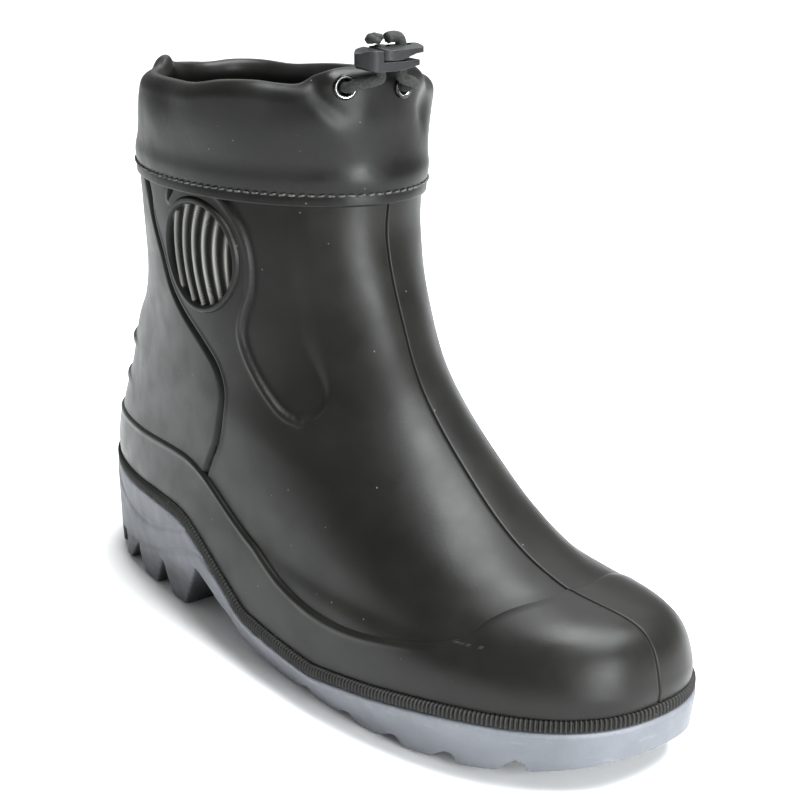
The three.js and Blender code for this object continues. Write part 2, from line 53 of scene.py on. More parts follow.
# Closed outlines up the boot. Columns: heel end and toe end; height, half width and sideways shift, each
# as four Bezier values from heel to toe; and the power of the superellipse. The values are the rounded
# result of a least-squares fit to the photo. The heel ends and top rows were altered after it.
HEEL, TOE, HEIGHTS, HALVES, SHIFTS, POWER = 0, 1, slice(2, 6), slice(6, 10), slice(10, 14), 14
OUTLINES = np.array([
    [-159, 145, 38, 34, 2, 21, 41, 42, 46, 66, 0, -2, -8, 14, 2.3],
    [-159, 147, 54, 54, 35, 37, 42, 48, 36, 69, -1, -2, -8, 14, 2.3],
    [-154, 138, 71, 74, 37, 54, 44, 45, 36, 61, 0, -2, -8, 13, 2.3],
    [-147, 109, 90, 93, 56, 63, 41, 43, 40, 51, 0, -2, -6, 4, 2.2],
    [-140, 79, 112, 109, 87, 78, 37, 43, 43, 43, 0, -2, -3, 1, 2.2],
    [-131, 42, 125, 124, 107, 111, 35, 43, 47, 38, 0, 0, 0, 0, 2.2],
    [-126, 26, 140, 140, 140, 140, 36, 43, 49, 38, 0, 0, 0, 0, 2.1],
    [-122, 18, 167, 167, 167, 167, 40, 45, 48, 41, 0, 0, 0, 0, 2.1],
    [-120, 17, 188, 188, 188, 188, 42, 49, 46, 42, 1, 0, 0, 2, 2.1],
    [-114, 15, 208, 208, 208, 208, 40, 50, 51, 45, 3, 0, 0, 0, 2.1],
    [-103, 14, 232, 232, 232, 232, 36, 48, 51, 46, 3, 0, 0, 0, 2.1],
])
TOP = len(OUTLINES) - 1
SEAM = 8  # the outline where the upper ends
GROUND = np.array([-158, 147, 0, 0, 0, 0, 47, 26, 44, 56, 0, -2, -8, 16, 2.6])
# The upper's bottom edge, as (x, z), and the rand's upper edge, as (degrees from the toe, z).
BOTTOM_EDGE = np.array([
    [-162, 43], [-110, 45], [-72, 47], [-52, 45], [-28, 32],
    [-6, 20.5], [22, 16], [60, 19], [105, 24], [150, 26],
])
RAND_EDGE = np.array([
    [0, 62], [20, 60], [34, 56], [46, 49.5], [60, 43.5], [74, 40],
    [84, 45], [92, 58], [99, 70], [106, 74], [125, 72], [180, 67],
])
WALL, LINING, GAP, RAND = 3.0, 1.0, 0.3, 1.3
WELT_WIDTH, WELT_HEIGHT = 3.2, 4.2
BALL_X, TOE_SPRING = 62, 12
SKIN_HALVINGS, SIDE_HALVINGS = 26, 24


def bezier(values, t):
    s = 1 - t
    a, b, c, d = (values[..., k] for k in range(4))
    return a * s**3 + 3 * b * s * s * t + 3 * c * s * t * t + d * t**3


def outline_at(level):
    """All the values of the outline at each level, by a Catmull-Rom run through the listed ones."""
    rows = np.vstack([2 * OUTLINES[0] - OUTLINES[1], OUTLINES, 2 * OUTLINES[-1] - OUTLINES[-2]])
    i = np.clip(np.floor(level).astype(int), 0, TOP - 1)
    f = (level - i)[..., None]
    p, q, r, s = rows[i], rows[i + 1], rows[i + 2], rows[i + 3]
    return q + 0.5 * ((r - p) * f + (2 * p - 5 * q + 4 * r - s) * f * f + (3 * q - p - 3 * r + s) * f**3)


def outline_point(values, angle):
    power = 2 / values[..., POWER]
    u = np.sign(np.cos(angle)) * np.abs(np.cos(angle)) ** power
    v = np.sign(np.sin(angle)) * np.abs(np.sin(angle)) ** power
    t = (1 + u) / 2
    x = values[..., HEEL] + (values[..., TOE] - values[..., HEEL]) * t
    y = v * bezier(values[..., HALVES], t) + bezier(values[..., SHIFTS], t)
    return np.stack([x, y, bezier(values[..., HEIGHTS], t)], -1)


def skin_point(level, angle):
    level, angle = np.broadcast_arrays(np.asarray(level, float), np.asarray(angle, float))
    return outline_point(outline_at(level), angle)


def unit(v):
    return v / np.linalg.norm(v, axis=-1, keepdims=True)


def skin_normal(level, angle):
    step = 0.01
    up = skin_point(np.minimum(level + step, TOP), angle) - skin_point(np.maximum(level - step, 0), angle)
    around = skin_point(level, angle + step) - skin_point(level, angle - step)
    return unit(np.cross(around, up))


def outward(level, angle):
    """The skin's normal, without its slope up or down."""
    return unit(skin_normal(level, angle) * [1, 1, 0])


def skin(level, angle, offset):
    normal = skin_normal(level, angle)
    return skin_point(level, angle) + normal * np.broadcast_to(offset, normal.shape[:-1])[..., None]


def find_level(angle, height, high=float(TOP)):
    """The level at which the skin reaches a height, found by halving. height may depend on x."""
    low = np.zeros(np.shape(angle))
    high = np.full(np.shape(angle), high)
    for _ in range(SKIN_HALVINGS):
        middle = (low + high) / 2
        p = skin_point(middle, angle)
        below = p[..., 2] < (height(p[..., 0]) if callable(height) else height)
        low, high = np.where(below, middle, low), np.where(below, high, middle)
    return low


def at_height(angle, height, offset):
    return skin(find_level(angle, height), angle, offset)


def along(line, place):
    """The height of a line at each place, by a smooth run through its points."""
    last = len(line) - 1
    i = np.clip(np.searchsorted(line[:, 0], place, side="right") - 1, 0, last - 1)
    before, after = np.maximum(np.arange(last + 1) - 1, 0), np.minimum(np.arange(last + 1) + 1, last)
    slope = (line[after, 1] - line[before, 1]) / (line[after, 0] - line[before, 0])
    run = line[i + 1, 0] - line[i, 0]
    t = (place - line[i, 0]) / run
    ease = t * t * (3 - 2 * t)
    swing = (slope[i] * (1 - t) - slope[i + 1] * t) * t * (1 - t)
    return line[i, 1] + (line[i + 1, 1] - line[i, 1]) * ease + swing * run


def edge_level(angle):
    return find_level(angle, lambda x: along(BOTTOM_EDGE, x), 2.0)


def edge_height(angle):
    return skin_point(edge_level(angle), angle)[..., 2]


def from_toe(angle):
    """How far round from the toe an angle is, in degrees, on either side of the boot."""
    turn = np.mod(angle, math.tau)
    return np.degrees(np.minimum(turn, math.tau - turn))


def smooth(a, b, x):
    t = np.clip((x - a) / (b - a), 0, 1)
    return t * t * (3 - 2 * t)


def bump(value, centre, width):
    return np.exp(-(((value - centre) / width) ** 2))


def distances(line):
    """How far along a line each of its points is."""
    return np.concatenate([[0], np.cumsum(np.linalg.norm(np.diff(line, axis=0), axis=1))])


def at_places(places, far, points):
    """Points at places along a line whose listed points are so far along it."""
    return np.stack([np.interp(places, far, points[:, k]) for k in range(3)], -1)


def full_turn(count):
    return np.linspace(0, math.tau, count, endpoint=False)


# ---- Meshes ----

def angles(count, fine=()):
    """Angles round the boot, the same on both sides, with extra ones close to the toe's line."""
    half = np.unique(np.concatenate([np.linspace(0, math.pi, count // 2 + 1), fine]))
    return np.concatenate([half, math.tau - half[-2:0:-1]])


def grid_faces(rows, cols, ring=True, tube=False):
    i = np.arange(rows if tube else rows - 1)[:, None]
    j = np.arange(cols if ring else cols - 1)[None, :]
    down, right = (i + 1) % rows, (j + 1) % cols
    a, b = np.broadcast_arrays(i * cols + j, i * cols + right)
    c, d = np.broadcast_arrays(down * cols + right, down * cols + j)
    return np.stack([a, b, c, d], -1).reshape(-1, 4)


def rungs(start, cols):
    """Faces across a ring, from side to side."""
    at = [start + k for k in range(cols)] + [start]
    half = cols // 2
    faces = [[at[0], at[cols - 1], at[1]], [at[half - 1], at[half + 1], at[half]]]
    faces += [[at[k], at[cols - k], at[cols - k - 1], at[k + 1]] for k in range(1, half - 1)]
    return faces


def add_object(name, data):
    obj = bpy.data.objects.new(name, data)
    scene.collection.objects.link(obj)
    return obj


def make(name, points, faces, body="boot", smooth_faces=True):
    """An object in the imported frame, with its faces turned outward."""
    mesh = bpy.data.meshes.new(name)
    mesh.from_pydata(((np.asarray(points, float).reshape(-1, 3) + CENTRE) * MM).tolist(), [],
                     [list(map(int, face)) for face in faces])
    bm = bmesh.new()
    bm.from_mesh(mesh)
    bmesh.ops.recalc_face_normals(bm, faces=bm.faces)
    bm.to_mesh(mesh)
    bm.free()
    if smooth_faces:
        mesh.shade_smooth()
    obj = add_object(name, mesh)
    if body:
        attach(obj, body)
    return obj


def loft(name, rings, **options):
    """A solid through rings of points, closed at both ends from side to side."""
    points = np.stack(rings)
    rows, cols = points.shape[:2]
    faces = grid_faces(rows, cols).tolist() + rungs(0, cols) + rungs((rows - 1) * cols, cols)
    return make(name, points, faces, **options)


def hoop(name, section, **options):
    """A solid that goes right round the boot, from rows of points that make a closed section."""
    points = np.stack(section)
    rows, cols = points.shape[:2]
    return make(name, points, grid_faces(rows, cols, tube=True), **options)


def modified(obj, *modifiers):
    """Applies modifiers to an object, one after another, each given as (type, settings)."""
    for kind, settings in modifiers:
        modifier = obj.modifiers.new(kind, kind)
        for key, value in settings.items():
            setattr(modifier, key, value)
        bpy.context.view_layer.update()
        graph = bpy.context.evaluated_depsgraph_get()
        mesh = bpy.data.meshes.new_from_object(obj.evaluated_get(graph))
        obj.modifiers.remove(modifier)
        obj.data = mesh
    return obj


def cut(obj, prisms):
    """Cuts prisms out of an object. Each is given as the points of its one end, then of its other."""
    for k, points in enumerate(prisms):
        n = len(points) // 2
        faces = [[i, (i + 1) % n, n + (i + 1) % n, n + i] for i in range(n)]
        faces += [list(range(n)), list(range(2 * n - 1, n - 1, -1))]
        cutter = make(f"cutter_{k}", points, faces, body=None, smooth_faces=False)
        modified(obj, ("BOOLEAN", {"object": cutter, "operation": "DIFFERENCE", "solver": "EXACT"}))
        bpy.data.objects.remove(cutter)


def soften(obj, voxel, rounds):
    """Rounds an object's edges, by way of voxels of that size in millimetres."""
    modified(obj, ("REMESH", {"mode": "VOXEL", "voxel_size": voxel * MM, "use_smooth_shade": True}),
             ("SMOOTH", {"factor": 0.5, "iterations": rounds}))


def positions(obj):
    """The object's points in the boot's own frame."""
    values = np.empty(len(obj.data.vertices) * 3)
    obj.data.vertices.foreach_get("co", values)
    return values.reshape(-1, 3) / MM - CENTRE


def set_positions(obj, points):
    obj.data.vertices.foreach_set("co", ((points + CENTRE) * MM).ravel())
    obj.data.update()


def set_mask(obj, name, values):
    """Stores values for the object's first points and 0 for the rest, for the material to read."""
    stored = np.zeros(len(obj.data.vertices))
    stored[:np.size(values)] = np.ravel(values)
    obj.data.attributes.new(name, "FLOAT", "POINT").data.foreach_set("value", stored)


# ---- Camera ----

# The camera's values come from the same fit as the outlines.
CAMERA_AT = (499.8, -374.8, 310.6)
CAMERA_YAW, CAMERA_PITCH, CAMERA_LENS, CAMERA_SENSOR = 2.473, 0.323, 77.85, 36

camera = add_object("camera", bpy.data.cameras.new("camera"))
camera.data.lens = CAMERA_LENS
camera.data.sensor_width = CAMERA_SENSOR
camera.location = Vector((np.array(CAMERA_AT) + CENTRE) * MM)
camera.rotation_euler = (math.pi / 2 - CAMERA_PITCH, 0, CAMERA_YAW - math.pi / 2)
scene.camera = camera

# ---- The gathered collar's shape ----

# The height of the collar's top edge by the angle from the toe, negative on the outer side. The cord
# gathers it into shallow waves.
TOP_EDGE = np.array([
    [-180, 218.5], [-161, 219.5], [-148, 222], [-139, 225], [-128, 221.5], [-99, 221.5], [-80, 222],
    [-65, 224.5], [-53, 225], [-43, 224], [-35, 224], [-28, 227], [-20, 229], [-6, 229.5], [5, 230],
    [15, 229.5], [24, 226.5], [34, 222], [45, 220], [70, 219.5], [90, 218.5], [110, 217.5],
    [130, 217.5], [150, 218], [165, 218.5], [180, 218.5],
])
# Upright ridges (+) and dents (-) of the gathered cloth: how far out in millimetres, where round the
# collar in degrees, how wide, the height at which it is deepest, how tall, and how it leans.
DENTS = [
    (1.8, -62, 12, 222, 18, 0), (-3.0, -29, 6, 224, 12, 0.8), (2.0, -20, 15, 213, 11, 0),
    (-2.4, 28, 7, 212, 8, 0), (1.8, 21, 9, 226, 7, 0), (-1.6, -91, 11, 220, 16, 0.2),
    (1.4, -118, 11, 220, 15, 0), (-1.7, -134, 8, 220, 13, 0), (1.8, 60, 12, 218, 14, 0),
    (-1.8, 84, 10, 218, 13, -0.3), (1.7, 108, 12, 218, 15, 0), (-1.7, 131, 9, 216, 13, 0.2),
    (1.4, 152, 11, 217, 14, 0), (-1.2, 172, 9, 217, 12, 0),
]


def signed_degrees(angle):
    return (np.degrees(angle) + 180) % 360 - 180


def cloth_waves(degrees, height):
    """How far the cloth stands out: soft upright dents that deepen towards the gathered edge."""
    total = 0.35 * np.sin(np.radians(degrees * 13 + 70)) * smooth(200, 224, height)
    for amount, place, width, level, tall, lean in DENTS:
        away = (degrees - place + lean * (height - level) + 180) % 360 - 180
        total = total + amount * bump(away, 0, width) * bump(height, level, tall)
    return total * smooth(188, 200, height)


# ---- The drawcord's route ----

EYELETS = ((-0.3, 223), (0.16, 221.5))  # the rear one's angle and height, and the front one's
HOLE, BARREL, FLANGE = 2.9, 0.5, 1.6  # the eyelets' inner radius, their wall and their rim
# How far outside the skin the collar's two walls start, on their faces inside the fold; half the
# fold's room; and the cloth.
COLLAR_OUT, COLLAR_IN, ROOM, CLOTH = 0.7, -5.0, 3.3, 1.0
COLLAR_MIDDLE = (COLLAR_OUT + COLLAR_IN) / 2 + 0.6
CLOTH_AT = COLLAR_MIDDLE + ROOM
TUNNEL_DEPTH = 4.6  # the cord's middle, below the collar's top edge
LOCK_ANGLE, LOCK_Z, LOCK_ALONG, LOCK_OUT = -0.07, 229.2, -1.2, CLOTH_AT + 8.2
LOCK_HEIGHT, LOCK_HOLES = 8.4, (-1.75, 7.05)
CORD_RADIUS, CORD_STEP = 2.0, 0.5
TUNNEL_START, TUNNEL_POINTS = 0.17, 36  # how far round past an eyelet the tunnel's points start


def collar_frame(angle, height):
    """A frame on the collar: its origin on the skin, outward, and along the edge at the front."""
    level = find_level(np.array(angle), height)
    out = outward(level, angle)
    return skin_point(level, angle), out, np.cross(UP, out)


def in_frame(where, a, o, u):
    origin, out, sideways = where
    return origin + a * sideways + o * out + u * UP


lock_frame = collar_frame(LOCK_ANGLE, LOCK_Z)


def lock_point(a, o, u):
    return in_frame(lock_frame, LOCK_ALONG + a, LOCK_OUT + o, u)


def in_tunnel(angle):
    """Where the cord lies in the collar's fold. It follows the cloth's dents."""
    degrees = signed_degrees(angle)
    height = along(TOP_EDGE, degrees) - TUNNEL_DEPTH
    return at_height(np.array(angle), height, COLLAR_MIDDLE + 0.85 * cloth_waves(degrees, height))


def strand(place, turn, lean):
    """From the lock down through an eyelet. It leans sideways outside and turns into the tunnel."""
    where = collar_frame(*EYELETS[place])
    hole = LOCK_HOLES[place]
    return [
        lock_point(hole, 0, 0), lock_point(hole, 0, -1.4), lock_point(hole, 0, -2.8),
        in_frame(where, 2.4 * lean, CLOTH_AT + 6.6, 1.5),
        in_frame(where, 0.8 * lean, CLOTH_AT + 4, 0.3),
        in_frame(where, 0, CLOTH_AT + 1.6, 0),
        in_frame(where, 0, CLOTH_AT - 1, 0),
        in_frame(where, 0.5 * turn, COLLAR_MIDDLE + 0.4, 0.3),
        in_frame(where, 3 * turn, COLLAR_MIDDLE - 0.8, 0.3),
    ]


def cord_points():
    start, end = EYELETS[1][0] + TUNNEL_START, EYELETS[0][0] + math.tau - TUNNEL_START
    tunnel = [in_tunnel(angle) for angle in np.linspace(start, end, TUNNEL_POINTS)]
    rear, front = LOCK_HOLES
    arch = [
        lock_point(rear + 2.65, 0.2, LOCK_HEIGHT + 2.3), lock_point(rear + 4.5, 0, LOCK_HEIGHT + 2.7),
        lock_point(front - 1.1, 0, LOCK_HEIGHT + 2.1), lock_point(front, 0, LOCK_HEIGHT - 0.8),
    ]
    end = lock_point(rear, 0, LOCK_HEIGHT + 0.2)
    return np.array([*arch, *strand(1, 1, -0.3), *tunnel, *strand(0, -1, 1)[::-1], end])


def spline(points, steps):
    """A centripetal Catmull-Rom line through the points, with even steps in each span."""
    padded = np.vstack([2 * points[0] - points[1], points, 2 * points[-1] - points[-2]])
    line = []
    for p0, p1, p2, p3 in zip(padded, padded[1:], padded[2:], padded[3:]):
        d0, d1, d2 = (max(np.linalg.norm(b - a), 1e-6) ** 0.5 for a, b in ((p0, p1), (p1, p2), (p2, p3)))
        m1 = (p1 - p0) / d0 - (p2 - p0) / (d0 + d1) + (p2 - p1) / d1
        m2 = (p2 - p1) / d1 - (p3 - p1) / (d1 + d2) + (p3 - p2) / d2
        t = np.arange(steps)[:, None] / steps
        a, b = 2 * t**3 - 3 * t**2 + 1, t**3 - 2 * t**2 + t
        c, d = 3 * t**2 - 2 * t**3, t**3 - t**2
        line.append(a * p1 + b * m1 * d1 + c * p2 + d * m2 * d1)
    return np.vstack([*line, points[-1:]])


def tube(name, line, radius_at, sides, **options):
    """A closed tube along a line. radius_at(turn, place) gives its radius all round."""
    heading = unit(np.gradient(line, axis=0))
    side = unit(np.cross(heading[0], [0.3, 0.2, 0.9]))
    frames = []
    for h in heading:
        side = unit(side - h * (side @ h))
        frames.append((side, np.cross(h, side)))
    frames = np.array(frames)
    turn = full_turn(sides)
    radius = radius_at(turn, distances(line)[:, None])
    first, second = frames[:, None, 0], frames[:, None, 1]
    spokes = np.cos(turn)[None, :, None] * first + np.sin(turn)[None, :, None] * second
    return loft(name, line[:, None] + radius[..., None] * spokes, **options)


STRANDS, PITCH, DEPTH = 8, 3.4, 0.45  # of the braid


def braid(turn, place):
    """The cord's radius, less the valleys between the strands."""
    a = np.abs(np.sin(STRANDS / 2 * turn + place * math.pi / PITCH))
    b = np.abs(np.sin(STRANDS / 2 * turn - place * math.pi / PITCH))
    over = smooth(-0.4, 0.4, np.sin(STRANDS * turn) * np.sin(math.tau * place / PITCH))
    return CORD_RADIUS - DEPTH * (1 - np.sqrt(a * over + b * (1 - over)))


cord_curve = spline(cord_points(), 14)
cord_far = distances(cord_curve)
cord_places = np.linspace(0, cord_far[-1], int(cord_far[-1] / CORD_STEP) + 1)
cord_line = at_places(cord_places, cord_far, cord_curve)
drawcord = tube("drawcord_braided", cord_line, braid, 32)
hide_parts("drawcord")


def knot():
    """The two ends of the cord, wound round each other on top of the lock."""
    t = full_turn(160)
    wide = 1 + 0.42 * np.cos(3 * t)
    line = np.stack([1.62 * wide * np.cos(2 * t), 1.5 * wide * np.sin(2 * t), 0.72 * np.sin(3 * t)], -1)
    centre = lock_point(LOCK_HOLES[0] - 2.4, 0, LOCK_HEIGHT + 2.5)
    _, out, sideways = lock_frame
    line = in_frame((centre, out, sideways), *line.T[..., None])
    line = np.vstack([line, line[:2]])  # once round and a little on, so that the ends are hidden
    return tube("cord_knot_wound", line, lambda turn, place: 1.12 + 0.08 * np.sin(4 * turn + 3 * place), 16)


cord_knot = knot()
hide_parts("cord_knot")

# ---- The moulded upper ----

# Lines in the side view, as (x, z): the heel counter's front edge; the ankle panel's edge, which is
# also the back of the tongue's recess; and the recess's front edge.
COUNTER = np.array([
    [-83, 196], [-80.5, 184], [-77.5, 176], [-75, 166], [-69, 154], [-63, 141], [-55, 133], [-40, 122],
    [-32, 115], [-28, 107], [-28, 99], [-31, 86], [-35, 79], [-40, 70], [-47, 55],
])
PANEL = np.array([
    [-58, 176], [-52, 181.5], [-44, 184.5], [-36, 184.5], [-29, 182], [-23, 177], [-18, 170.5], [-15, 163],
    [-14, 154], [-14.5, 146], [-17, 138], [-18, 131], [-15.5, 124], [-9.5, 116], [-2, 109.5], [5, 105.5],
    [12, 104],
])
TONGUE_FRONT = np.array([
    [12, 104], [17, 105], [20, 109.5], [20, 115], [16.5, 126], [12, 140], [8.5, 154], [6, 168], [5, 186],
])
GUARD_X, GUARD_Z, GUARD_RADIUS = -41, 157, 21
PARTING_HALF, PARTING_DEPTH, PARTING_TOP = 0.45, 0.9, 200
COUNTER_LIFT, COUNTER_GROOVE, RECESS_DEPTH, POCKET_DEPTH = 0.6, 1.1, 1.5, 2.6
HEEL_RIDGES = ((83, 1.2), (101, 1.5))  # the height of each, and how far it stands out
COARSENESS = 0.1  # how uneven the moulded surfaces are


def flat_distance(points, line):
    """The distance of each (x, z) point from a line of points."""
    best = np.full(len(points), np.inf)
    for a, b in zip(line, line[1:]):
        step = b - a
        t = np.clip(((points - a) @ step) / (step @ step), 0, 1)
        best = np.minimum(best, np.linalg.norm(points - a - t[:, None] * step, axis=1))
    return best


def within(points, line):
    """Whether each (x, z) point lies inside a closed line."""
    inside = np.zeros(len(points), bool)
    x, z = points.T
    for (x0, z0), (x1, z1) in zip(line, np.roll(line, -1, axis=0)):
        crosses = (z0 > z) != (z1 > z)
        inside ^= crosses & (x < x0 + (z - z0) * (x1 - x0) / (z1 - z0 if z1 != z0 else 1))
    return inside


def flat_spline(line, steps=8):
    return spline(np.column_stack([line, np.zeros(len(line))]), steps)[:, :2]


def waves(points, amount, seed):
    """Slow unevenness of a moulded surface, as a sum of a few waves."""
    rng = np.random.default_rng(seed)
    total = np.zeros(points.shape[:-1])
    for _ in range(9):
        direction = unit(rng.normal(size=3))
        total += np.sin(points @ direction * math.tau / rng.uniform(22, 60) + rng.uniform(0, 6.3))
    return amount * total / 3


def parting(points, angle):
    """The thin groove that the mould leaves down the front, over the toe: 1 in it and 0 elsewhere."""
    height = np.minimum(points[..., 2], PARTING_TOP)
    middle = skin_point(find_level(np.zeros(points.shape[:-1]), height), 0)
    return bump(points[..., 1], middle[..., 1], PARTING_HALF) * (np.cos(angle) > 0)


def upper_relief(points, angle):
    """How far the moulded detail stands out of the skin, in millimetres, and the painted shade for its
    grooves.
    """
    shape = points.shape[:-1]
    flat = points[..., [0, 2]].reshape(-1, 2)
    counter, panel, front = (flat_spline(line) for line in (COUNTER, PANEL, TONGUE_FRONT))
    behind = within(flat, np.vstack([counter, [[-200, 55], [-200, 196]]]))
    to_counter = flat_distance(flat, counter)
    recess = within(flat, np.vstack([panel, front, [[5, 200], [-58, 200]]]))
    to_panel, to_front = flat_distance(flat, panel), flat_distance(flat, front)
    signed = np.where(recess, to_panel, -to_panel)
    side = np.abs(np.sin(angle)).reshape(-1) > 0.12
    x, y, z = points.reshape(-1, 3).T
    wider = bump(z, 176, 9) * side
    groove = bump(to_counter, 0, 0.95 + 0.8 * wider) * side
    height = COUNTER_LIFT * np.where(behind, smooth(0, 2.2, to_counter), 0) * side
    height -= COUNTER_GROOVE * (1 + wider) * groove
    height += 0.35 * bump(to_counter, 1.9, 0.8) * ~behind * side
    fade = 3 + 6 * smooth(112, 135, z)
    height -= RECESS_DEPTH * smooth(-0.4, 0.8, signed) * smooth(0.2, fade, to_front) * recess
    height += 0.45 * bump(signed, -1.3, 0.9)
    height -= POCKET_DEPTH * smooth(GUARD_RADIUS, GUARD_RADIUS - 1, np.hypot(x - GUARD_X, z - GUARD_Z))
    at_back = (x < -110) * smooth(30, 18, np.abs(y + 1))
    for ridge, tall in HEEL_RIDGES:
        height += tall * np.exp(-(((z - ridge) / 1.7) ** 4)) * at_back
    # A band just inside the recess's edge, where painted shade stands for the step down's shadow.
    step_down = smooth(-0.2, 0.5, signed) * smooth(3.5, 0.5, signed) * recess
    split = parting(points, angle)
    # Painted shade: in the counter's groove, along the recess's edge and in the parting groove.
    painted_groove_shade = np.maximum(np.maximum(groove, step_down).reshape(shape), split)
    return height.reshape(shape) - PARTING_DEPTH * split + waves(points, COARSENESS, 3), painted_groove_shade


FINE = np.array([0.0008, 0.0018, 0.003, 0.0045, 0.0065, 0.009, 0.0125])
around = angles(800, FINE)


def upper():
    low = edge_level(around)
    level = low + (SEAM - low) * np.linspace(0, 1, 290)[:, None]
    angle = np.broadcast_to(around, level.shape)
    base = skin_point(level, angle)
    relief, painted_groove_shade = upper_relief(base, angle)
    outer = base + skin_normal(level, angle) * relief[..., None]
    inner_rows = np.linspace(0.03, 1, 40)[::-1]  # the hollow starts a little above the bottom edge
    inner_level = low + (SEAM - low) * inner_rows[:, None]
    inner = skin(inner_level, around, -WALL)
    obj = loft("upper_moulded", [*outer, *inner])
    # The grooves' painted shade, for the material to read.
    set_mask(obj, "painted_groove_shade", painted_groove_shade)
    return obj


upper_moulded = upper()
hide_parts("upper_shell")


def rand():
    """The toe cap and foxing: a band with a rolled upper edge, softer over the toe."""
    low_z = edge_height(around) + WELT_HEIGHT + 0.3
    high_z = along(RAND_EDGE, from_toe(around))
    low, high = find_level(around, low_z), find_level(around, high_z)
    share = 1 - (1 - np.linspace(0, 1, 90)) ** 1.6
    level = low + (high - low) * share[:, None]
    base, normal = skin_point(level, around), skin_normal(level, around)
    down = np.linalg.norm(base[-1] - base, axis=-1)
    toe = smooth(75, 45, from_toe(around))
    roll = 1.5 + 2.5 * toe
    lift = RAND * (1 - 0.55 * toe) * np.sqrt(1 - (1 - np.clip(down / roll, 0, 1)) ** 2)
    lift += 0.35 * (1 - toe) * bump(down, 1.9, 1.1)
    split = parting(base, around)
    lift += waves(base, COARSENESS, 3) - 0.7 * split
    outer = base + normal * lift[..., None]
    inner = base[[-1, 0]] - 0.3 * normal[[-1, 0]]
    obj = hoop("rand_rolled", [*outer, *inner])
    # Painted shade in the parting groove, for the material to read.
    set_mask(obj, "painted_groove_shade", split)
    return obj


rand_rolled = rand()
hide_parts("toe_and_foxing_rand")


WELT_RIBS, RIB_DEPTH, RIB_STEPS = 440, 0.85, 6
# The welt's section: how far outward, how high, and how much of the ribs' depth shows there.
WELT_SECTION = (
    (-0.6, 0.3, 0), (2.2, 0.3, 0), (2.9, 0.5, 0.6), (3.1, 1.0, 1), (3.15, 2.2, 1), (3.05, 3.4, 1),
    (2.7, 4.1, 1), (2.1, 4.35, 0.9), (1.2, 4.4, 0.7), (0.3, 4.4, 0.3), (-0.6, 4.3, 0),
)


def welt():
    """A narrow ledge round the boot with fine upright ribs."""
    turn = full_turn(WELT_RIBS * RIB_STEPS)
    coarse = np.linspace(0, math.tau, 721)
    level = edge_level(coarse)
    line, out = skin_point(level, coarse), outward(level, coarse)
    far = distances(line)
    places = turn / math.tau * far[-1]
    line, out = at_places(places, far, line), unit(at_places(places, far, out))
    rib = 0.5 + 0.5 * np.cos(turn * WELT_RIBS)
    section = []
    for far_out, height, ribbed in WELT_SECTION:
        reach = far_out - RIB_DEPTH * ribbed * (1 - rib)
        section.append(line + out * reach[:, None] + UP * (height - 0.4 * ribbed * (1 - rib))[:, None])
    return hoop("welt_ribs", section)


welt_ribs = welt()
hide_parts("ribbed_welt")

# ---- Ankle guards ----

def side_point(x, z, side):
    """The skin's angle and level at places in the side view, on the outer (-1) or inner (1) side."""
    low = np.full(np.shape(x), 0.0 if side > 0 else math.pi)
    high = low + math.pi
    for _ in range(SIDE_HALVINGS):
        middle = (low + high) / 2
        too_far = skin_point(find_level(middle, z), middle)[..., 0] > x
        go_on = too_far if side > 0 else ~too_far
        low, high = np.where(go_on, middle, low), np.where(go_on, high, middle)
    middle = (low + high) / 2
    return find_level(middle, z), middle


def ankle_guard(name, side):
    """A round window with a raised rim and curved upright ribs, each hollow in front of its crest."""
    radii = np.concatenate([np.linspace(0.02, 0.86, 80), np.linspace(0.87, 1.09, 30)]) * GUARD_RADIUS
    turn = full_turn(280)
    x = GUARD_X + radii[:, None] * np.cos(turn)
    z = GUARD_Z + radii[:, None] * np.sin(turn)
    level, angle = side_point(x, z, side)
    base, normal = skin_point(level, angle), skin_normal(level, angle)
    radius = radii[:, None] / GUARD_RADIUS
    pitch, bend = 6.2, 0.012
    phase = ((x - GUARD_X) - bend * (z - GUARD_Z) ** 2 + 2.0) / pitch
    step = phase - np.floor(phase)
    rib = 2.7 * step**2 * smooth(1.0, 0.86, step)
    window = smooth(0.93, 0.9, radius)
    rim = 1.15 * smooth(1.08, 1.01, radius) * smooth(0.92, 0.97, radius)
    height = rim + window * (rib - 1.9) - 0.4 * bump(radius, 1.07, 0.02)
    height = np.where(radius > 1.085, -0.4, height)
    outer = base + normal * height[..., None]
    inner = base[[-1, 30]] - 2.3 * normal[[-1, 30]]
    obj = loft(name, [*outer, *inner])
    # Painted shade in the ribs' hollows and in the groove at the window's edge.
    set_mask(obj, "painted_groove_shade", np.clip(window * smooth(1.6, 0.3, rib) + bump(radius, 0.93, 0.02), 0, 1))
    # Painted highlight on the ribs' crests.
    set_mask(obj, "painted_crest_highlight", window * smooth(0.4, 1.8, rib))
    return obj


guards = []
for side, node in ((-1, "ankle_guard_outer"), (1, "ankle_guard_inner")):
    guard = ankle_guard(node + "_ribbed", side)
    guards.append(guard)
    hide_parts(node)

# ---- Sole ----

# The cuts start below the ground and go past the sole's sides.
BELOW, BESIDE, NOTCH_END = -3, 90, 80
ARCH = [(-58, BELOW), (-52, 11), (-45, 17), (-36, 19), (-26, 15), (-18, 7), (0, 3), (4, BELOW)]
LUG_FIRST, LUG_PITCH, LUG_COUNT, LUG_RISE = 4, 24, 5, 5
# Notches up the heel's sides, as (x, z) outlines, and how far out from the middle each one starts.
HEEL_NOTCHES = [
    ([(-147, BELOW), (-142, 11), (-130, 13), (-134, BELOW)], 16),
    ([(-133, BELOW), (-113, 14.5), (-109, BELOW)], 20),
    ([(-101, BELOW), (-85, 17.5), (-82, BELOW)], 22),
    ([(-75, BELOW), (-50, 27), (-36, 20), (-36, BELOW)], 22),
]
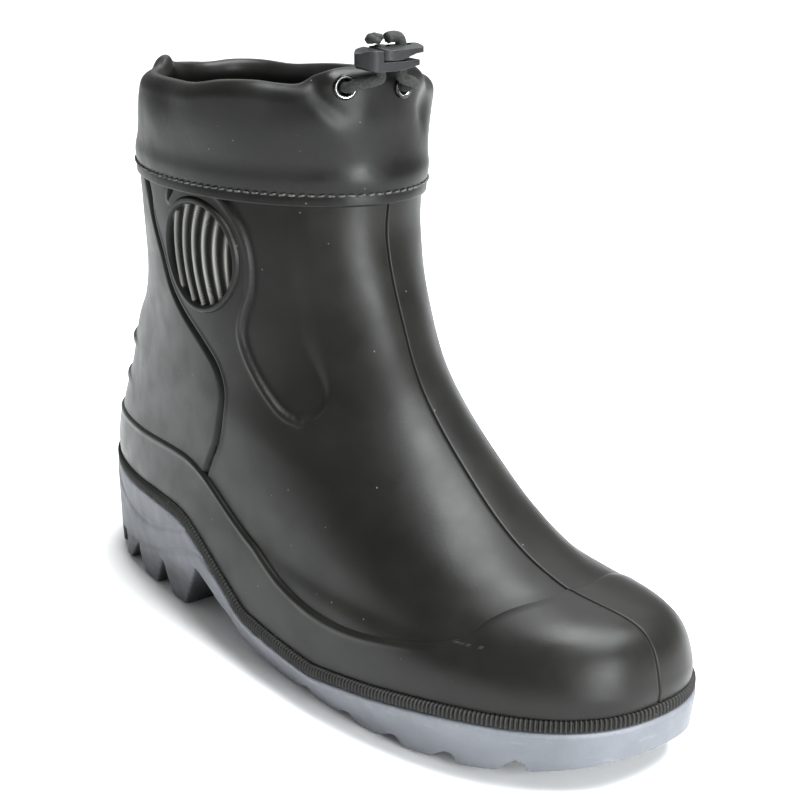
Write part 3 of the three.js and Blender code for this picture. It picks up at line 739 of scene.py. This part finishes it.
# Shallow lines moulded in the heel's side, as (x, z).
HEEL_LINES = np.array([
    [[-150, 42], [-135, 37], [-123, 33], [-110, 31], [-92, 31.4], [-83, 33.3], [-70, 37.4], [-52, 43]],
    [[-120, 14], [-111, 14.5], [-93, 18.8], [-77, 23.9], [-64, 28.6], [-49, 34.5], [-40, 36.5], [-30, 33]],
])


def tread_rise(x):
    return TOE_SPRING * (np.maximum(0, x - BALL_X) / (GROUND[TOE] - BALL_X)) ** 2


def prism(outline, start, end):
    """The points of a prism across the boot, from an outline of (x, z) points."""
    return [(x, y, z) for y in (start, end) for x, z in outline]


def sole_cuts():
    yield prism(ARCH, -BESIDE, BESIDE)
    for i in range(LUG_COUNT):
        start, end = LUG_FIRST + i * LUG_PITCH, LUG_FIRST + (i + 1) * LUG_PITCH
        top = tread_rise(end) + LUG_RISE
        slot = [(start + 5, BELOW), (end, BELOW), (end, top), (end - 3, top)]
        yield prism(slot, -BESIDE, BESIDE)
    for outline, start in HEEL_NOTCHES:
        yield prism(outline, start, NOTCH_END)
        yield prism(outline, -NOTCH_END, -start)


def outsole():
    turn = angles(360)
    bottom = outline_point(np.broadcast_to(GROUND, (len(turn), len(GROUND))), turn)
    bottom[:, 2] = tread_rise(bottom[:, 0])
    level = edge_level(turn)
    out = outward(level, turn)
    top = skin_point(level, turn) + out * (WELT_WIDTH + GAP)
    waist = top + (bottom - top) * 0.55
    rings = [bottom - out * 2 * [1, 1, 0], bottom - out * 0.6 + UP * 0.5, bottom + UP * 1.8]
    for share in np.linspace(0.06, 0.92, 24):
        start, end, part = (bottom, waist, share * 2) if share < 0.5 else (waist, top, share * 2 - 1)
        rings.append(start + (end - start) * part)
    rings += [top - UP * 1.2, top - UP * 0.3 - out * 0.4, top - out * 1.4]
    obj = loft("outsole_moulded", rings)
    cut(obj, sole_cuts())
    soften(obj, 1.0, 5)
    points = positions(obj)
    x, y, z = points.T
    lines = [flat_spline(line) for line in HEEL_LINES]
    side_view = np.stack([x, z], -1)
    push = -0.85 * sum(bump(flat_distance(side_view, line), 0, 0.9) for line in lines)
    upper_panel = within(side_view, np.vstack([lines[0], [[-52, 60], [-150, 60]]]))
    push -= 0.5 * smooth(0, 2.5, flat_distance(side_view, lines[0])) * upper_panel
    push *= smooth(4, 9, z)
    middle = bezier(GROUND[SHIFTS], np.clip((x - GROUND[HEEL]) / (GROUND[TOE] - GROUND[HEEL]), 0, 1))
    away = np.stack([np.where(x < -120, (x + 120) / 40, 0), (y - middle) / 45, np.zeros(len(x))], -1)
    away = unit(away + 1e-9)
    set_positions(obj, points + away * push[:, None])
    # Painted shade: the heel's lower part is darkened, most at the bottom.
    set_mask(obj, "low", smooth(22, 8, z - 0.12 * (x + 110)) * smooth(-36, -50, x))
    return obj


outsole_moulded = outsole()
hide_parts("outsole")

# ---- Inside ----

FOOT_CLEAR = 3.3  # how far above the upper's bottom edge the lining's floor takes its outline


def lining():
    turn = angles(240)
    low = edge_level(turn)
    outer_offset, inner_offset = -(WALL + GAP), -(WALL + GAP + LINING)
    shares = np.linspace(0.04, 1, 70)[:, None]
    level = low + (SEAM - low) * shares
    outer, inner = skin(level, turn, outer_offset), skin(level, turn, inner_offset)
    edge = edge_height(turn)
    foot = at_height(turn, edge + FOOT_CLEAR, inner_offset)
    foot[:, 2] = edge + WALL + GAP + LINING
    under = at_height(turn, edge + FOOT_CLEAR, outer_offset)
    under[:, 2] = edge + WALL + GAP
    rows = [k for k, row in enumerate(outer) if (row[:, 2] > under[:, 2] + 1).all()]
    return loft("knit_lining_soft", [under, *outer[rows], *inner[rows][::-1], foot])


knit_lining = lining()
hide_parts("knit_lining")


def footbed(name, start, thick):
    """A layer of the insole, crowned a little at its edge."""
    turn = angles(200)
    inside = -(WALL + 2 * GAP + LINING + 0.5)
    z = edge_height(turn)

    def ring(height, inset):
        p = at_height(turn, z + np.maximum(height, 5.2), inside - inset)
        p[:, 2] = z + height
        return p

    top = start + thick
    rings = [ring(start, 0.4), ring(start + 0.1 * thick, 0), ring(top - 0.3 * thick, 0), ring(top, 0.6)]
    middle = rings[-1]
    centre = middle.copy()
    centre[:, 1] = (middle[:, 1] + middle[np.r_[0, len(turn) - 1:0:-1], 1]) / 2
    rings += [middle + (centre - middle) * share for share in (0.12, 0.3, 0.5, 0.7, 0.9)]
    return loft(name, rings)


FLOOR_TOP = WALL + LINING + 3 * GAP
FOAM_THICK, COVER_THICK = 5, 0.8
insole_foam = footbed("insole_foam_soft", FLOOR_TOP, FOAM_THICK)
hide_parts("insole_foam")
insole_cover = footbed("insole_cover_cloth", FLOOR_TOP + FOAM_THICK + GAP, COVER_THICK)
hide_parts("insole_cover")

# ---- Collar ----

COLLAR_BOTTOM, COLLAR_SEAM, COLLAR_WAIST, COLLAR_SPREAD = 180.5, 184.5, 194.0, 212
FOLD = 6.0  # how tall the fold is, from where the walls start to lean together


def collar():
    turn = angles(800)
    degrees = signed_degrees(turn)
    top = along(TOP_EDGE, degrees) - FOLD

    def offset_at(side, z):
        """How far outside the skin one wall's outward face lies; side is 1 outside and -1 inside."""
        foot = (COLLAR_OUT + CLOTH) if side > 0 else (COLLAR_IN - CLOTH)
        head = COLLAR_MIDDLE + side * (ROOM + CLOTH)
        spread = smooth(COLLAR_WAIST, COLLAR_SPREAD, z)
        wave = cloth_waves(degrees, z)
        flat = sum(bump(degrees, math.degrees(angle), 7.5) * bump(z, height, 8) for angle, height in EYELETS)
        wave = wave * (1 - np.minimum(flat, 1)) * (1 if side > 0 else 0.75)
        puff = 0.5 * bump(z, COLLAR_SEAM + 5, 3.5) - 0.3 * bump(z, COLLAR_SEAM, 1.3)
        return foot + (head - foot) * spread + wave + (puff if side > 0 else 0)

    def wall(side, inset):
        """Rows up one wall. inset is 0 for its outward face and 1 for the cloth's other face."""
        heights = (COLLAR_BOTTOM + (top - COLLAR_BOTTOM) * share for share in np.linspace(0, 1, 60))
        return [at_height(turn, z, offset_at(side, z) - side * inset * CLOTH) for z in heights]

    def arch(inset):
        """Rows over the fold, from the outer wall to the inner."""
        rows = []
        outer, inner = offset_at(1, top), offset_at(-1, top)
        for k in range(1, 18):
            tip = math.pi * k / 18
            lean = math.cos(tip) * (1 - 0.22 * math.sin(tip) ** 2)
            half = (outer - inner) / 2 - inset * CLOTH
            up = (FOLD - inset * CLOTH) * math.sin(tip) ** 0.9
            z = top + up
            sway = cloth_waves(degrees, z) - cloth_waves(degrees, top)
            rows.append(at_height(turn, z, (outer + inner) / 2 + half * lean + 0.7 * sway))
        return rows

    outside = [*wall(1, 0), *arch(0), *wall(-1, 0)[::-1]]
    inside = [*wall(1, 1), *arch(1), *wall(-1, 1)[::-1]]
    obj = hoop("collar_cloth", [*outside, *inside[::-1]])
    radius = HOLE + BARREL + 0.2
    ring = [(radius * math.cos(t), radius * math.sin(t)) for t in full_turn(48)]
    frames = [collar_frame(*place) for place in EYELETS]
    cut(obj, ([in_frame(where, a, far, u) for far in (-0.8, 12) for a, u in ring] for where in frames))
    return obj


collar_cloth = collar()
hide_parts("collar")


STITCH_PITCH, STITCH_HALF, THREAD_RADIUS = 3.6, 1.45, 0.42


def stitches():
    """Short stitches round the collar's lower edge."""
    line = at_height(np.linspace(0, math.tau, 721), COLLAR_SEAM, COLLAR_OUT + CLOTH + 0.25)
    far = distances(line)
    count = int(far[-1] / STITCH_PITCH)
    rng = np.random.default_rng(5)
    points, faces = [], []
    rows, sides = 9, 8
    turn = full_turn(sides)[:, None]
    for k in range(count):
        middle = (k + 0.5) * far[-1] / count
        path = at_places(middle + np.linspace(-STITCH_HALF, STITCH_HALF, rows), far, line)
        tilt = rng.uniform(-0.12, 0.3)
        t = np.linspace(-1, 1, rows)
        heading = unit(path[-1] - path[0])
        out = unit(np.cross(heading, UP))
        path = path + UP * (tilt * t)[:, None] + out * (0.45 * (1 - t**2) - 0.35)[:, None]
        radius = THREAD_RADIUS * np.sqrt(np.clip(1.04 - t**4, 0.05, 1))
        points.append(path[:, None] + radius[:, None, None] * (np.cos(turn) * out + np.sin(turn) * UP))
        start = k * rows * sides
        faces += (grid_faces(rows, sides) + start).tolist()
        faces += [[first + i for i in range(sides)] for first in (start, start + (rows - 1) * sides)]
    return make("seam_stitches", points, faces)


seam_stitches = stitches()
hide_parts("seam_thread")


def eyelet(name, angle, height):
    """A rolled metal rim with a barrel through the cloth."""
    outside = CLOTH_AT + CLOTH + GAP
    lip = [(HOLE + FLANGE / 2 + FLANGE / 2 * math.cos(t), outside + 0.1 + 0.75 * math.sin(t))
           for t in np.linspace(-0.3, math.pi, 18)]
    profile = [(HOLE + BARREL, CLOTH_AT - 1.9), (HOLE + BARREL, outside - 0.1), *lip, (HOLE, CLOTH_AT - 1.9)]
    origin, out, sideways = collar_frame(angle, height)
    turns = full_turn(72)
    ring = np.cos(turns)[:, None] * sideways + np.sin(turns)[:, None] * UP
    obj = hoop(name, [origin + radius * ring + far * out for radius, far in profile])
    set_mask(obj, "rim", np.repeat([smooth(HOLE + 0.6, HOLE + 0.8, r) for r, _ in profile], len(turns)))
    return obj


rims = []
for place, at in zip(("rear", "front"), EYELETS):
    rim = eyelet(f"eyelet_{place}_rolled", *at)
    rims.append(rim)
    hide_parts(f"eyelet_{place}")

# ---- Cord lock ----

LOCK_HALF, LOCK_PLATE = 11.75, 3.2


def shape_lock(obj, upper):
    """Rounds the lock's closed end in the side view, and thins its two jaws towards the open end."""
    _, out, sideways = lock_frame
    centre = lock_point(0, 0, 0)
    away = positions(obj) - centre
    a, o, u = away @ sideways, away @ out, away[:, 2]
    closed = smooth(-LOCK_HALF + 6, -LOCK_HALF, a) ** 1.6
    u = LOCK_HEIGHT / 2 + (u - LOCK_HEIGHT / 2) * (1 - 0.5 * closed)
    o = o * (1 - 0.28 * closed)
    opened = smooth(2, LOCK_HALF, a)
    edge = LOCK_HEIGHT if upper else LOCK_PLATE
    u = np.where(u < edge, u + (edge - u) * 0.42 * opened, u)
    o = o * (1 - 0.05 * opened**2)
    u = u - 0.035 * o**2 * smooth(LOCK_HEIGHT - 2, LOCK_HEIGHT, u)
    set_positions(obj, centre + a[:, None] * sideways + o[:, None] * out + u[:, None] * UP)


def softened(node, body, upper):
    """A copy of a CAD node with its edges rounded and its ends shaped."""
    obj = add_object(node + "_soft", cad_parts[node].data.copy())
    obj.data.materials.clear()
    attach(obj, body)
    soften(obj, 0.2, 10)
    shape_lock(obj, upper)
    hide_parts(node)
    return obj


lock_body = softened("cord_lock_body", "cord_lock", False)
lock_plunger = softened("cord_lock_plunger", "lock_plunger", True)

# ---- Materials ----


class Nodes:
    """Builds one material's nodes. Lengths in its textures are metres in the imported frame."""

    def __init__(self, name):
        self.material = bpy.data.materials.new(name)
        self.material.use_nodes = True
        self.tree = self.material.node_tree
        self.shader = self.tree.nodes["Principled BSDF"]
        self.place = self.tree.nodes.new("ShaderNodeTexCoord").outputs["Object"]

    def add(self, kind, inputs=None, **settings):
        node = self.tree.nodes.new("ShaderNode" + kind)
        for key, value in settings.items():
            setattr(node, key, value)
        for key, value in (inputs or {}).items():
            self.feed(node.inputs[key], value)
        return node

    def feed(self, socket, value):
        """Links an output to an input, or sets the input's own value."""
        if isinstance(value, bpy.types.NodeSocket):
            self.tree.links.new(value, socket)
        else:
            socket.default_value = value

    def noise(self, size, detail=3.0, rough=0.5, place=None):
        """Noise with features of about that size, in metres, from 0 to 1."""
        inputs = {"Vector": place or self.place, "Scale": 1 / size, "Detail": detail, "Roughness": rough}
        return self.add("TexNoise", inputs).outputs["Fac"]

    def ramp(self, value, low, high, start=0.0, end=1.0):
        inputs = {"Value": value, "From Min": low, "From Max": high, "To Min": start, "To Max": end}
        return self.add("MapRange", inputs).outputs["Result"]

    def math(self, operation, a, b=0.0):
        return self.add("Math", {0: a, 1: b}, operation=operation).outputs[0]

    def mix(self, share, a, b):
        node = self.add("Mix", {"Factor": share}, data_type="RGBA")
        self.feed(node.inputs[6], a)  # the Mix node's two colour inputs and its colour output
        self.feed(node.inputs[7], b)
        return node.outputs[2]

    def two_tone(self, value, low, high, first, second):
        """From one colour to the other while the value goes from low to high."""
        return self.mix(self.ramp(value, low, high), colour(first), colour(second))

    def tint(self, base, mask, share, text):
        """The base with a colour laid over it where the mask is 1, at most by that share."""
        return self.mix(self.math("MULTIPLY", mask, share), base, colour(text))

    def edges(self, low, high):
        """1 where the surface turns a sharp corner outward."""
        return self.ramp(self.add("NewGeometry").outputs["Pointiness"], low, high)

    def stretched(self, scale):
        return self.add("Mapping", {"Vector": self.place, "Scale": scale}).outputs[0]

    def wave(self, scale, distortion, direction):
        inputs = {"Vector": self.place, "Scale": scale, "Distortion": distortion}
        return self.add("TexWave", inputs, bands_direction=direction).outputs["Fac"]

    def specks(self, size, amount):
        """Sparse round specks: 1 in a speck, 0 elsewhere."""
        cells = self.add("TexVoronoi", {"Vector": self.place, "Scale": 1 / size})
        dots = self.ramp(cells.outputs["Distance"], 0.1, 0.05)
        chosen = self.add("SeparateColor", {"Color": cells.outputs["Color"]}).outputs[0]
        return self.math("MULTIPLY", dots, self.ramp(chosen, 1 - amount, 1 - 0.8 * amount))

    def bump(self, height, depth, below=None):
        inputs = {"Height": height, "Distance": depth, "Strength": 1.0}
        if below is not None:
            inputs["Normal"] = below
        return self.add("Bump", inputs).outputs["Normal"]

    def mask(self, name):
        return self.add("Attribute", attribute_name=name).outputs["Fac"]

    def finish(self, base, rough, normal=None, **others):
        inputs = {"Base Color": base, "Roughness": rough, "Normal": normal, **others}
        for key, value in inputs.items():
            if value is not None:
                self.feed(self.shader.inputs[key.replace("_", " ")], value)
        return self.material


def colour(text):
    """A linear colour from a hex one."""
    channels = [int(text[k:k + 2], 16) / 255 for k in (0, 2, 4)]
    return (*[c / 12.92 if c <= 0.04045 else ((c + 0.055) / 1.055) ** 2.4 for c in channels], 1.0)


def rubber(name, deep, light, low_rough, high_rough, masked=False):
    """Moulded rubber: slightly mottled, with a faint grain, dust specks and rubbed edges."""
    n = Nodes(name)
    base = n.two_tone(n.noise(0.03, 4), 0.35, 0.65, deep, light)
    base = n.tint(base, n.edges(0.515, 0.56), 0.25, "474742")
    base = n.tint(base, n.specks(0.0042, 0.12), 0.35, "83837c")
    rough = n.ramp(n.noise(0.012, 5), 0.3, 0.7, low_rough, high_rough)
    if masked:
        painted_groove_shade = n.mask("painted_groove_shade")
        # Painted shade: near black in the grooves.
        base = n.tint(base, painted_groove_shade, 0.8, "050505")
        # Painted highlight: lighter on the ankle guards' rib crests.
        base = n.tint(base, n.mask("painted_crest_highlight"), 0.8, "80807c")
        rough = n.math("ADD", rough, n.math("MULTIPLY", painted_groove_shade, 0.25))
    scuffs = n.noise(0.004, 6, 0.7, n.stretched((1, 1, 3)))
    bumped = n.bump(scuffs, 0.00003, n.bump(n.noise(0.0009, 3), 0.00002))
    return n.finish(base, rough, bumped, Specular_IOR_Level=0.2)


def sole_rubber():
    n = Nodes("sole_rubber")
    base = n.two_tone(n.noise(0.018, 5), 0.3, 0.7, "4c4f54", "5a5d63")
    streaks = n.noise(0.006, 6, 0.7, n.stretched((0.4, 0.4, 2.5)))
    base = n.mix(n.ramp(streaks, 0.58, 0.8, 0, 0.35), base, colour("83878d"))
    base = n.tint(base, n.specks(0.003, 0.2), 0.55, "35373b")
    # Painted shade on the heel's lower part, from the mask.
    base = n.tint(base, n.mask("low"), 0.75, "17181a")
    base = n.tint(base, n.edges(0.52, 0.6), 0.4, "85898f")
    rough = n.ramp(n.noise(0.008, 4), 0.3, 0.7, 0.48, 0.64)
    bumped = n.bump(n.noise(0.0012, 4), 0.00005, n.bump(n.noise(0.02, 2), 0.0003))
    return n.finish(base, rough, bumped)


def coated_cloth():
    """Cloth with a satin black coat: a fine plain weave shows faintly under it."""
    n = Nodes("coated_cloth")
    base = n.two_tone(n.noise(0.02, 4), 0.35, 0.65, "090908", "10100e")
    base = n.tint(base, n.specks(0.004, 0.15), 0.4, "77776f")
    threads = n.math("MULTIPLY", n.wave(420.0, 0.6, "Z"), n.wave(420.0, 0.6, "Y"))
    rough = n.ramp(n.noise(0.01, 5), 0.3, 0.7, 0.34, 0.46)
    bumped = n.bump(n.noise(0.0035, 4), 0.00006, n.bump(threads, 0.00001))
    return n.finish(base, rough, bumped, Specular_IOR_Level=0.2)


def thread_like(name, deep, light, size, rough):
    """Spun yarn: fine fibres, with a painted highlight that makes them lighter where they stand up."""
    n = Nodes(name)
    fibres = n.noise(size, 5, 0.7)
    base = n.two_tone(fibres, 0.4, 0.72, deep, light)
    return n.finish(base, rough, n.bump(fibres, 0.00012))


def knit():
    n = Nodes("knit_fabric")
    yarn = n.math("MULTIPLY", n.wave(170.0, 1.5, "Z"), n.wave(230.0, 2.0, "DIAGONAL"))
    base = n.mix(yarn, colour("2b2b2b"), colour("4a4a49"))
    return n.finish(base, 0.95, n.bump(yarn, 0.0004))


def foam():
    n = Nodes("open_foam")
    cells = n.add("TexVoronoi", {"Vector": n.place, "Scale": 900.0}).outputs["Distance"]
    base = n.mix(cells, colour("3c3c3c"), colour("5e5e5d"))
    return n.finish(base, 0.9, n.bump(cells, 0.0002))


def metal(name, light, deep=None):
    """Nickel plate with fine scratches; the rim mask darkens its outer ring."""
    n = Nodes(name)
    base = n.two_tone(n.noise(0.004, 5), 0.4, 0.7, light, "a9a9a6")
    if deep:
        base = n.mix(n.mask("rim"), base, colour(deep))
    rough = n.ramp(n.noise(0.0012, 6, 0.7), 0.3, 0.7, 0.16, 0.34)
    bumped = n.bump(n.noise(0.0008, 4), 0.00001)
    return n.finish(base, rough, bumped, Metallic=1.0)


def plastic():
    n = Nodes("lock_plastic")
    base = n.two_tone(n.noise(0.006, 4), 0.35, 0.65, "0f1011", "18191a")
    base = n.tint(base, n.edges(0.52, 0.6), 0.4, "5a5b5b")
    rough = n.ramp(n.noise(0.002, 5), 0.3, 0.7, 0.4, 0.58)
    bumped = n.bump(n.noise(0.0006, 3), 0.00003)
    return n.finish(base, rough, bumped, Specular_IOR_Level=0.25)


def dress(material, *objects):
    for obj in objects:
        obj.data.materials.clear()
        obj.data.materials.append(material)


dress(rubber("upper_rubber", "0b0b09", "12120f", 0.36, 0.46, masked=True), upper_moulded, *guards)
dress(rubber("rand_rubber", "0c0c0a", "131310", 0.34, 0.45, masked=True), rand_rolled)
dress(rubber("welt_rubber", "080807", "0e0e0d", 0.45, 0.6), welt_ribs)
dress(sole_rubber(), outsole_moulded)
dress(coated_cloth(), collar_cloth)
dress(thread_like("black_thread", "161615", "5a5a56", 0.0011, 0.7), seam_stitches)
dress(thread_like("black_cord", "0a0a0a", "262625", 0.0009, 0.85), drawcord, cord_knot)
dress(knit(), knit_lining)
dress(foam(), insole_foam)
dress(thread_like("insole_cloth", "262626", "454543", 0.0016, 0.95), insole_cover)
dress(metal("nickel", "c9c9c5", "2a2a29"), *rims)
dress(plastic(), lock_body, lock_plunger)
plain = metal("plain_nickel", "bdbdb9")
for node in ("eyelet_washer_rear", "eyelet_washer_front", "cord_lock_spring"):
    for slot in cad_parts[node].material_slots:
        slot.material = plain

# ---- Floor and light ----

FLOOR_HALF = 4  # metres, as all sizes here
LIGHT_COLOUR, WORLD_STRENGTH = (0.96, 0.985, 1.0), 0.4


def floor():
    bm = bmesh.new()
    bmesh.ops.create_grid(bm, x_segments=8, y_segments=8, size=FLOOR_HALF)
    mesh = bpy.data.meshes.new("floor")
    bm.to_mesh(mesh)
    bm.free()
    obj = add_object("floor", mesh)
    n = Nodes("pale_floor")
    dress(n.finish(n.mix(n.noise(0.4, 2), colour("f2f2f2"), colour("f7f7f7")), 0.9), obj)


def softbox(name, place, target, size, power):
    light = bpy.data.lights.new(name, "AREA")
    light.shape = "RECTANGLE"
    light.size, light.size_y = size
    light.energy = power
    light.color = LIGHT_COLOUR
    obj = add_object(name, light)
    obj.location = place
    obj.rotation_euler = (Vector(target) - Vector(place)).to_track_quat("-Z", "Y").to_euler()


floor()
softbox("overhead", (0.45, 0.22, 1.5), (0, 0, 0.1), (1.0, 1.2), 84)
softbox("front", (1.5, -0.15, 0.42), (0, 0, 0.12), (0.4, 0.8), 34)
softbox("far_floor", (-2.4, 2.0, 2.4), (-2.4, 2.0, 0), (4, 3), 85)
world = bpy.data.worlds.new("studio")
world.use_nodes = True
background = world.node_tree.nodes["Background"].inputs
background["Color"].default_value = (1, 1, 1, 1)
background["Strength"].default_value = WORLD_STRENGTH
scene.world = world
scene.view_settings.view_transform = "Standard"
